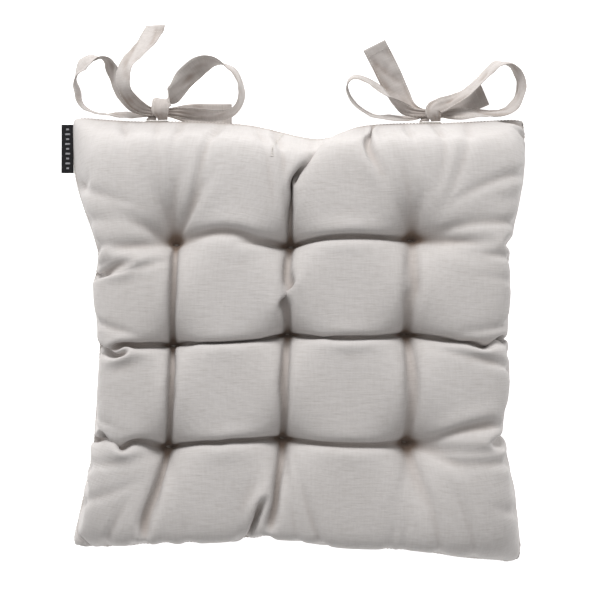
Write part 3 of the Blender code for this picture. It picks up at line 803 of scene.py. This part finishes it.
def make_tie(name, stations, hinge, cloth, thread, seed):
    """A folded strip of the cover's cloth, stitched along both edges, hemmed at its loose end."""
    run, course = tie_course(stations, Vector(hinge))
    centre, width, spread = course[:, :3], course[:, 3:6], np.clip(course[:, 6], 0, 1)
    along = unit(np.gradient(centre, axis=0))
    half = np.linalg.norm(width, axis=1)
    across = unit(width - along * (width * along).sum(1, keepdims=True))
    through = np.cross(along, across)
    length = run[-1]
    u = np.linspace(-1, 1, TIE_SIDES + 1)
    u = np.sign(u) * np.abs(u) ** 0.85
    from_edge = 1 - np.abs(u)
    body = mix(TIE_EDGE_THICKNESS, 1, np.sqrt(np.clip(from_edge / TIE_EDGE, 0, 1)))
    stitched = 1 - 0.25 * np.exp(-((from_edge - TIE_STITCH_INSET) / 0.05) ** 2)
    hem = 1 + 0.5 / (1 + np.exp(-(run - length + TIE_HEM) / 0.0006))
    thick = TIE_THICKNESS / 2 * (body * stitched)[None, :] * hem[:, None]
    gathered = (1 - spread)[:, None]
    offset = tie_ripples(run, u, seed) * mix(0.3, 1, spread)[:, None]
    offset += PLEAT * gathered * np.cos(3 * np.pi * u)[None, :]
    offset *= np.clip(np.minimum(run, length - run) / RIPPLE_END, 0.15, 1)[:, None]
    places = centre[:, None] + across[:, None] * (half[:, None] * u)[..., None]
    upper = places + through[:, None] * (offset + thick)[..., None]
    lower = places + through[:, None] * (offset - thick)[..., None]
    rings = np.concatenate([upper, lower[:, ::-1]], axis=1)
    both = np.concatenate([u, u[::-1]]) * TIE_WIDTH / 2
    flat_x, flat_y = np.meshgrid(run, both, indexing="ij")
    dips = np.concatenate([-offset, offset[:, ::-1]], axis=1) / RIPPLE
    # Painted shade: over the whole tie, deeper where it is gathered and in the ripples' dips
    shade = TIE_PAINTED_SHADE + GATHER_PAINTED_SHADE * gathered + RIPPLE_PAINTED_SHADE * np.clip(dips, 0, 1)
    tie = band(name, rings, cloth, np.dstack([flat_x, flat_y, np.zeros_like(flat_x)]), shade)

    def surface(s, place, face):
        """Point of one face at s along and place across, -1 to 1, and the way out of it."""
        at = [np.interp(s, run, rows) for rows in (*centre.T, *across.T, *through.T, half)]
        n = min(int(round(s / TIE_STEP)), len(run) - 1)
        rise = np.interp(place, u, offset[n]) + face * np.interp(place, u, thick[n])
        out = np.array(at[6:9])
        return np.array(at[:3]) + np.array(at[3:6]) * at[9] * place + out * rise, out * face

    return tie, tie_stitches(f"{name}_stitches", surface, length, thread), length


def tie_stitches(name, surface, length, thread):
    """Both edges' stitching, on both faces, and the hem's."""
    edge = 1 - TIE_STITCH_INSET
    hem = length - TIE_HEM + 0.001
    stitches = []
    for face in (1, -1):
        for place in (-edge, edge):
            for s in np.arange(TIE_STITCH_END, length - TIE_STITCH_END, TIE_STITCH_PITCH):
                start, out = surface(s, place, face)
                stitches.append((start, surface(s + TIE_STITCH_LENGTH, place, face)[0], out))
        for place in np.arange(-edge, edge - 0.1, 2 * TIE_STITCH_PITCH / TIE_WIDTH):
            start, out = surface(hem, place, face)
            end = surface(hem, place + 2 * TIE_STITCH_LENGTH / TIE_WIDTH, face)[0]
            stitches.append((start, end, out))
    return stitch_mesh(name, stitches, TIE_STITCH_RADIUS, thread)


# ------------------------------ seam, label, stitching

STITCH_SIDES = 6
# Shape of a stitch: share of its length, rise and thickness, both in radii
STITCH_SHAPE = ((0.0, -1.1, 0.55), (0.14, 0.2, 0.95), (0.5, 0.55, 1.0), (0.86, 0.2, 0.95), (1.0, -1.1, 0.55))
SEAM_STITCH_PITCH = 0.0034
SEAM_STITCH_SHARE = 0.78  # of the pitch that a stitch of the seam covers

# Closing stitches: where each starts and ends from the rear seam. They run on over the edge onto the top,
# along a course in mm from the pad's centre
CLOSING_STITCHES = 13
CLOSING_START, CLOSING_END = (0, -0.0026, 0.0026), (0.0016, -0.0004, -0.0020)
CLOSING_COURSE = ((-15, 207), (-21, 200), (-26, 191), (-28, 181))
CLOSING_REACH, CLOSING_RISE = 0.0013, 0.0003  # to each side of the course, and over the cloth

LABEL_PLY = 0.0004
LABEL_FOLD = 0.00065  # half the height of the folded edge, to the outside
LABEL_STEPS = 48
MOTIF_DASHES = 9
MOTIF_LENGTHS = (0.0016, 0.0026)  # half the length of every other dash
MOTIF_THREADS = 5
MOTIF_PITCH, MOTIF_HEIGHT = 0.00034, 0.00083


def stitch_mesh(name, stitches, radius, material):
    """Lengths of thread, each (start, end, way out of the cloth), that dip into the cloth at both ends."""
    starts, ends, lifts = (np.array(rows, float) for rows in zip(*stitches))
    along = unit(ends - starts)
    lifts = unit(lifts - along * (lifts * along).sum(1, keepdims=True))
    side = np.cross(along, lifts)
    angle = 2 * np.pi * np.arange(STITCH_SIDES) / STITCH_SIDES
    spoke = side[:, None] * np.cos(angle)[:, None] + lifts[:, None] * np.sin(angle)[:, None]
    rings = []
    for share, rise, thickness in STITCH_SHAPE:
        middle = mix(starts, ends, share) + lifts * (rise * radius)
        rings.append(middle[:, None] + spoke * radius * thickness)
    verts = np.stack(rings, axis=1)
    count, levels = verts.shape[:2]
    number = np.arange(count * levels * STITCH_SIDES).reshape(count, levels, STITCH_SIDES)
    following = np.roll(number, -1, axis=2)
    faces = np.stack([number[:, :-1], following[:, :-1], following[:, 1:], number[:, 1:]], -1)
    faces = faces.reshape(-1, 4)[:, ::-1].tolist()
    faces += number[:, 0].tolist()
    faces += number[:, -1, ::-1].tolist()
    return new_object(name, verts.reshape(-1, 3), faces, material)


def seam_line(cloth):
    """Places of the seam's nodes in the frame."""
    points = np.array([cloth[0][key] for key in ring_keys(cloth.shape[1] - 1)])
    return points + np.array([*PAD_CENTRE, 0])


def make_seam_stitches(cloth, thread):
    """Lockstitches that show in the groove of the edge seam."""
    line = seam_line(cloth)
    closed = np.vstack([line, line[:1]])
    run = run_lengths(closed)
    spots = read_off(np.linspace(0, run[-1], round(run[-1] / SEAM_STITCH_PITCH) + 1), run, closed)
    ends = mix(spots[:-1], spots[1:], SEAM_STITCH_SHARE)
    out = (spots[:-1] + spots[1:]) / 2 - np.array([*PAD_CENTRE, SEAM_HEIGHT])
    lifts = np.cross(unit(spots[1:] - spots[:-1]), (0, 0, 1))
    lifts *= np.sign((lifts * out).sum(1, keepdims=True))
    return stitch_mesh("edge_seam_stitches", zip(spots[:-1], ends, lifts), 0.0004, thread)


def top_point(cloth, x, y):
    """Nearest place of the top panel to x, y in the frame."""
    points = cloth[0].reshape(-1, 3) + np.array([*PAD_CENTRE, 0])
    return points[np.argmin((points[:, 0] - x) ** 2 + (points[:, 1] - y) ** 2)]


def make_closing_stitches(cloth, thread):
    """Slanted whip stitches over the rear seam and a fold of the top, where the cover was closed."""
    line = seam_line(cloth)
    low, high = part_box("closing_stitch")
    rear = line[line[:, 1] > PAD_CENTRE[1] + 0.15]
    rear = rear[np.argsort(rear[:, 0])]
    stitches = []
    for x in np.linspace(low[0], high[0], CLOSING_STITCHES):
        spot = (x, *(np.interp(x, rear[:, 0], rear[:, k]) for k in (1, 2)))
        stitches.append((np.add(spot, CLOSING_START), np.add(spot, CLOSING_END), (0, 0.8, 0.6)))
    course = smooth_curve(CLOSING_COURSE, [5, 5, 5]) * MM + np.array(PAD_CENTRE)
    for place, way in zip(course, unit(np.gradient(course, axis=0))):
        side = np.array((way[1], -way[0])) * CLOSING_REACH
        start, end = (top_point(cloth, *at) + (0, 0, CLOSING_RISE) for at in (place - side, place + side))
        stitches.append((start, end, (0, 0, 1)))
    return stitch_mesh("closing_whip_stitches", stitches, 0.00038, thread)


def make_tuft_thread(name, column, row, thread):
    """A doubled loop of thread through the pad, which holds the two panels together at a tuft."""
    x, y = TUFTS[row, column] + np.array(PAD_CENTRE)
    high, low = TUFT_TOP + TUFT_THREAD_RADIUS / 2, TUFT_BOTTOM - TUFT_THREAD_RADIUS / 2
    left, right = x - TUFT_HALF, x + TUFT_HALF
    stitches = []
    for strand in (-0.6, 0.6):
        at = y + strand * TUFT_THREAD_RADIUS * 1.7
        for height, way in ((high, 1), (low, -1)):
            end = (right, at + TUFT_THREAD_RADIUS * strand, height)
            stitches.append(((left, at, height), end, (0, 0, way)))
        for side in (left, right):
            stitches.append(((side, at, low), (side, at, high), (0, 1, 0)))
    return stitch_mesh(name, stitches, TUFT_THREAD_RADIUS, thread)


def make_label(material):
    """Woven tape folded double at its outer edge, with its two ends in the seam."""
    middle = (LABEL_LOW[2] + LABEL_HIGH[2]) / 2
    reach = LABEL_HIGH[0] - LABEL_LOW[0]
    length = LABEL_HIGH[1] - LABEL_LOW[1]
    turn = LABEL_FOLD / reach
    course = [(x, 1) for x in np.linspace(0, 1 - turn, 11)]
    course += [(1 - turn + math.sin(a) * turn, math.cos(a)) for a in np.linspace(0.25, 0.75, 5) * math.pi]
    course += [(x, -1) for x in np.linspace(1 - turn, 0, 11)]
    rows, flats = [], []
    for share in np.linspace(0, 1, LABEL_STEPS + 1):
        y = LABEL_LOW[1] + length * share
        sway = 0.00025 * math.sin(share * 5.2 + 0.6) + 0.00012 * math.sin(share * 17)
        outer, inner, across = [], [], []
        for n, (x, side) in enumerate(course):
            gap = mix(0.55, 1, min(x, 1)) * LABEL_FOLD
            belly = 0.0002 * math.sin(min(x, 1) * math.pi) * side
            place = (LABEL_HIGH[0] - x * reach, y, middle + side * gap + belly + sway * x)
            outer.append(place)
            before, after = course[max(n - 1, 0)], course[min(n + 1, len(course) - 1)]
            run = Vector(((after[0] - before[0]) * reach, 0, (after[1] - before[1]) * LABEL_FOLD)).normalized()
            inner.append((place[0] + run.z * LABEL_PLY, y, place[2] - run.x * LABEL_PLY))
            across.append((share * length, (x if side > 0 else 2 - x) * reach, 0))
        rows.append(outer + inner[::-1])
        flats.append(across + across[::-1])
    return band("woven_label", np.array(rows), material, np.array(flats))


def make_label_motif(material):
    """A plain row of satin-stitched dashes along both faces of the label."""
    x, _, middle = ((low + high) / 2 for low, high in zip(LABEL_LOW, LABEL_HIGH))
    stitches = []
    for face in (1, -1):
        for dash in range(MOTIF_DASHES):
            y = mix(LABEL_LOW[1], LABEL_HIGH[1], (dash + 1) / (MOTIF_DASHES + 1))
            long = MOTIF_LENGTHS[dash % 2]
            for thread in range(MOTIF_THREADS):
                at, height = y + (thread - MOTIF_THREADS // 2) * MOTIF_PITCH, middle + face * MOTIF_HEIGHT
                stitches.append(((x - long, at, height), (x + long, at, height), (0, 0, face)))
    return stitch_mesh("label_motif", stitches, 0.00019, material)


# ------------------------------ materials

WHITE = (1, 1, 1, 1)
CANVAS = srgb(205, 201, 199)
CANVAS_DARK = srgb(191, 186, 182)
CANVAS_LIGHT = srgb(212, 208, 206)
PAINTED_CREASE_SHADE = (0.42, 0.33, 0.27, 1)  # painted shade, warm brown, in the cover's creases and the tufts' pits, and on the ties
RIB_PITCH = 0.0011
WARP_PITCH = 0.6 * RIB_PITCH
RIB_WANDER = 0.0009
LABEL_WARP_PITCH, LABEL_WEFT_PITCH = 0.00045, 0.0007
FLOOR_GLOW = 0.8


class Nodes:
    """Short calls for a material's node tree."""

    def __init__(self, name):
        self.material = bpy.data.materials.new(name)
        self.material.use_nodes = True
        self.tree = self.material.node_tree
        self.shader = self.tree.nodes["Principled BSDF"]

    def add(self, kind, **settings):
        made = self.tree.nodes.new(kind)
        for key, value in settings.items():
            setattr(made, key, value)
        return made

    def put(self, value, socket):
        """Gives a socket a plain value, or another node's output."""
        if isinstance(value, (int, float, tuple)):
            socket.default_value = value
        else:
            self.tree.links.new(value, socket)

    def attribute(self, name, output):
        return self.add("ShaderNodeAttribute", attribute_name=name).outputs[output]

    def plan(self, source):
        """First and second part of a place."""
        made = self.add("ShaderNodeSeparateXYZ")
        self.put(source, made.inputs[0])
        return made.outputs[0], made.outputs[1]

    def noise(self, source, scale, shift=(0, 0, 0), detail=2, roughness=0.5):
        mapping = self.add("ShaderNodeMapping")
        self.put(scale, mapping.inputs["Scale"])
        self.put(shift, mapping.inputs["Location"])
        self.put(source, mapping.inputs["Vector"])
        made = self.add("ShaderNodeTexNoise")
        self.put(1, made.inputs["Scale"])
        self.put(detail, made.inputs["Detail"])
        self.put(roughness, made.inputs["Roughness"])
        self.put(mapping.outputs["Vector"], made.inputs["Vector"])
        return made.outputs["Fac"]

    def math(self, operation, a, b=None):
        made = self.add("ShaderNodeMath", operation=operation)
        self.put(a, made.inputs[0])
        if b is not None:
            self.put(b, made.inputs[1])
        return made.outputs[0]

    def wave(self, place, pitch):
        return self.math("SINE", self.math("MULTIPLY", place, 2 * math.pi / pitch))

    def weave(self, ribs, cross, share):
        """Height of a weave, -1 to 1: its ribs, a share of them broken up by the ones across."""
        crossed = self.math("MULTIPLY", self.math("MULTIPLY", ribs, cross), share)
        return self.math("ADD", self.math("MULTIPLY", ribs, 1 - share), crossed)

    def ramp(self, source, stops):
        made = self.add("ShaderNodeValToRGB")
        while len(made.color_ramp.elements) < len(stops):
            made.color_ramp.elements.new(0.5)
        for element, (place, colour) in zip(made.color_ramp.elements, stops):
            element.position = place
            element.color = colour
        self.put(source, made.inputs["Fac"])
        return made.outputs["Color"]

    def multiply(self, factor, a, b):
        made = self.add("ShaderNodeMix", data_type="RGBA", blend_type="MULTIPLY")
        for value, socket in ((factor, made.inputs["Factor"]), (a, made.inputs[6]), (b, made.inputs[7])):
            self.put(value, socket)
        return made.outputs[2]

    def shade(self, factor, colour, source, low, tone, high):
        """Colour times a tone where the source is low, unchanged where it is high."""
        return self.multiply(factor, colour, self.ramp(source, ((low, (*tone, 1)), (high, WHITE))))

    def bump(self, height, distance, strength, after=None):
        made = self.add("ShaderNodeBump")
        for key, value in (("Distance", distance), ("Strength", strength), ("Height", height)):
            self.put(value, made.inputs[key])
        if after is not None:
            self.put(after, made.inputs["Normal"])
        return made.outputs["Normal"]

    def finish(self, colour, normal, roughness=0.9, sheen=0.0, specular=0.2):
        inputs = self.shader.inputs
        self.put(colour, inputs["Base Color"])
        if normal is not None:
            self.put(normal, inputs["Normal"])
        self.put(roughness, inputs["Roughness"])
        self.put(sheen, inputs["Sheen Weight"])
        self.put(0.5, inputs["Sheen Roughness"])
        self.put(specular, inputs["Specular IOR Level"])
        return self.material


def canvas(name, rib_axis):
    """Undyed cotton canvas: thick weft ribs with slubs over a fine warp, a little uneven in colour."""
    n = Nodes(name)
    flat = n.attribute("flat", "Vector")
    turn = 1 if rib_axis == "x" else -1
    along, over = n.plan(flat)[::turn]
    wander = n.math("SUBTRACT", n.noise(flat, (90, 90, 1), detail=1), 0.5)
    over = n.math("ADD", over, n.math("MULTIPLY", wander, RIB_WANDER))
    weave = n.weave(n.wave(over, RIB_PITCH), n.wave(along, WARP_PITCH), 0.3)
    slub = n.noise(flat, (*(60, 800)[::turn], 1), detail=3, roughness=0.6)
    streak = n.noise(flat, (*(500, 60)[::turn], 1), (3.1, 7.7, 0))
    patch = n.noise(flat, (9, 9, 1), (1.7, 0.4, 0))
    colour = n.ramp(slub, ((0.15, CANVAS_DARK), (0.5, CANVAS), (0.9, CANVAS_LIGHT)))
    colour = n.shade(0.35, colour, streak, 0.3, (0.86, 0.85, 0.84), 0.65)
    colour = n.shade(0.5, colour, patch, 0.3, (0.93, 0.92, 0.91), 0.7)
    # Painted shade in the hollows between the weave's raised threads
    raised = n.math("ADD", n.math("MULTIPLY", weave, 0.5), 0.5)
    colour = n.shade(0.8, colour, raised, 0.0, (0.90, 0.89, 0.88), 0.7)
    # Painted shade, by the crease attribute: in the creases, in the tufts' pits and on the ties
    colour = n.multiply(n.attribute("crease", "Fac"), colour, PAINTED_CREASE_SHADE)
    normal = n.bump(weave, 0.00012, 0.7)
    normal = n.bump(slub, 0.0004, 0.5, normal)
    creases = n.noise(flat, (130, 130, 1), (4.0, 2.0, 0), detail=3, roughness=0.55)
    normal = n.bump(creases, 0.0010, 0.30, normal)
    return n.finish(colour, normal, roughness=0.92, sheen=0.18)


def cotton_thread(name, tone):
    """Twisted sewing thread."""
    n = Nodes(name)
    place = n.add("ShaderNodeTexCoord").outputs["Object"]
    twist = n.add("ShaderNodeTexWave", wave_type="BANDS", bands_direction="DIAGONAL")
    for key, value in (("Scale", 900), ("Distortion", 1.5), ("Vector", place)):
        n.put(value, twist.inputs[key])
    # Painted shade in the grooves of the twist, darker where its bands are low
    dark = tuple(channel * 0.72 for channel in tone[:3]) + (1,)
    colour = n.ramp(twist.outputs["Fac"], ((0.1, dark), (0.7, tone)))
    colour = n.shade(0.4, colour, n.noise(place, (600, 600, 600)), 0.3, (0.8, 0.79, 0.78), 0.7)
    normal = n.bump(twist.outputs["Fac"], 0.00015, 0.6)
    return n.finish(colour, normal, roughness=0.75, sheen=0.1, specular=0.3)


def label_weave(name):
    """Black satin tape with a fine cross rib."""
    n = Nodes(name)
    flat = n.attribute("flat", "Vector")
    along, over = n.plan(flat)
    weave = n.weave(n.wave(along, LABEL_WARP_PITCH), n.wave(over, LABEL_WEFT_PITCH), 0.5)
    lint = n.noise(flat, (900, 500, 1), detail=3)
    colour = n.ramp(lint, ((0.35, srgb(18, 18, 20)), (0.75, srgb(32, 32, 35))))
    # Painted shade in the hollows between the weave's raised threads
    raised = n.math("ADD", n.math("MULTIPLY", weave, 0.5), 0.5)
    colour = n.shade(0.9, colour, raised, 0.0, (0.72, 0.72, 0.74), 0.8)
    return n.finish(colour, n.bump(weave, 0.00008, 0.6), roughness=0.7, sheen=0.04, specular=0.2)


def floor_finish(name):
    n = Nodes(name)
    cloud = n.noise(n.add("ShaderNodeTexCoord").outputs["Object"], (3, 3, 3))
    colour = n.ramp(cloud, ((0.3, (0.90, 0.90, 0.90, 1)), (0.7, (0.92, 0.92, 0.92, 1))))
    n.put(WHITE, n.shader.inputs["Emission Color"])
    n.put(FLOOR_GLOW, n.shader.inputs["Emission Strength"])
    return n.finish(colour, None, roughness=0.95, specular=0.1)


# ------------------------------ stage

CAMERA_HEIGHT = 2.0
FIELD = 0.606  # width of the view at the seam's height
VIEW_CENTRE = (0.0058, -0.0074)
WORLD_STRENGTH = 0.47
KEY_PLACE, KEY_TARGET, KEY_SIZE, KEY_WATTS = (-0.35, 1.9, 1.35), (0, 0, 0.03), (1.6, 0.8), 52
FLOOR_HALF, FLOOR_HEIGHT = 6, -0.0003


def make_camera():
    data = bpy.data.cameras.new("camera")
    data.lens = data.sensor_width * (CAMERA_HEIGHT - SEAM_HEIGHT) / FIELD
    data.clip_end = 20
    camera = bpy.data.objects.new("camera", data)
    camera.location = (*VIEW_CENTRE, CAMERA_HEIGHT)
    bpy.context.scene.collection.objects.link(camera)
    bpy.context.scene.camera = camera


def make_key_light():
    data = bpy.data.lights.new("key", "AREA")
    data.shape = "RECTANGLE"
    data.size, data.size_y = KEY_SIZE
    data.energy = KEY_WATTS
    light = bpy.data.objects.new("key", data)
    light.location = KEY_PLACE
    light.rotation_euler = (Vector(KEY_TARGET) - Vector(KEY_PLACE)).to_track_quat("-Z", "Y").to_euler()
    bpy.context.scene.collection.objects.link(light)


def make_stage():
    world = bpy.data.worlds.new("studio")
    world.use_nodes = True
    background = world.node_tree.nodes["Background"].inputs
    background["Color"].default_value = WHITE
    background["Strength"].default_value = WORLD_STRENGTH
    bpy.context.scene.world = world
    make_key_light()
    corners = [(x * FLOOR_HALF, y * FLOOR_HALF, FLOOR_HEIGHT) for x, y in ((-1, -1), (1, -1), (1, 1), (-1, 1))]
    floor = new_object("floor", corners, [(0, 1, 2, 3)], floor_finish("studio_floor"), smooth=False)
    make_camera()
    bpy.context.scene.view_settings.view_transform = "Standard"


# ------------------------------ object


def tie_hinge(name):
    """Place of a bow's hinge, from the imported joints."""
    for joint in frame["joints"]:
        if joint["name"] == name:
            return joint["pos_m"]
    raise KeyError(name)


def main():
    make_stage()
    cover_cloth = canvas("cover_canvas_weave", "x")
    tie_cloth = canvas("tie_canvas_weave", "y")
    thread = cotton_thread("cotton_thread", srgb(222, 217, 210))
    label_cloth = label_weave("label_satin")
    motif_thread = cotton_thread("motif_thread", srgb(176, 176, 180))

    cloth = simulate_cover()
    cushion = make_cushion(cloth, cover_cloth)
    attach(cushion, "pad")
    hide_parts("top_panel", "bottom_panel", "fibre_filling")

    seam = make_seam_stitches(cloth, thread)
    closing = make_closing_stitches(cloth, thread)
    for piece, node in ((seam, "edge_seam_thread"), (closing, "closing_stitch")):
        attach(piece, "pad")
        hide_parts(node)

    ties = (("left", LEFT_TIE_LOOP, LEFT_TIE_WRAP), ("right", RIGHT_TIE_LOOP, RIGHT_TIE_WRAP))
    for side, loop, wrap in ties:
        hinge = tie_hinge(f"{side}_bow_hinge")
        for seed, (kind, stations) in enumerate((("loop", loop), ("wrap", wrap))):
            name = f"{side}_ribbon_{kind}"
            tie, sewn, length = make_tie(name, stations, hinge, tie_cloth, thread, seed + len(side))
            for piece in (tie, sewn):
                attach(piece, f"{side}_bow")
            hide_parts(f"{side}_tie_{kind}")

    label, motif = make_label(label_cloth), make_label_motif(motif_thread)
    for piece in (label, motif):
        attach(piece, "label")
    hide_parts("side_label")

    for row in (2, 1, 0):
        for column in range(3):
            node = f"tuft_thread_{3 * (2 - row) + column + 1}"
            tied = make_tuft_thread(f"{node}_doubled", column, row, thread)
            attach(tied, "pad")
            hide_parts(node)

    for name in ("left_tie_tack", "right_tie_tack", "label_stitch"):
        data = frame["nodes"][name].data
        data.materials.clear()
        data.materials.append(thread)


main()
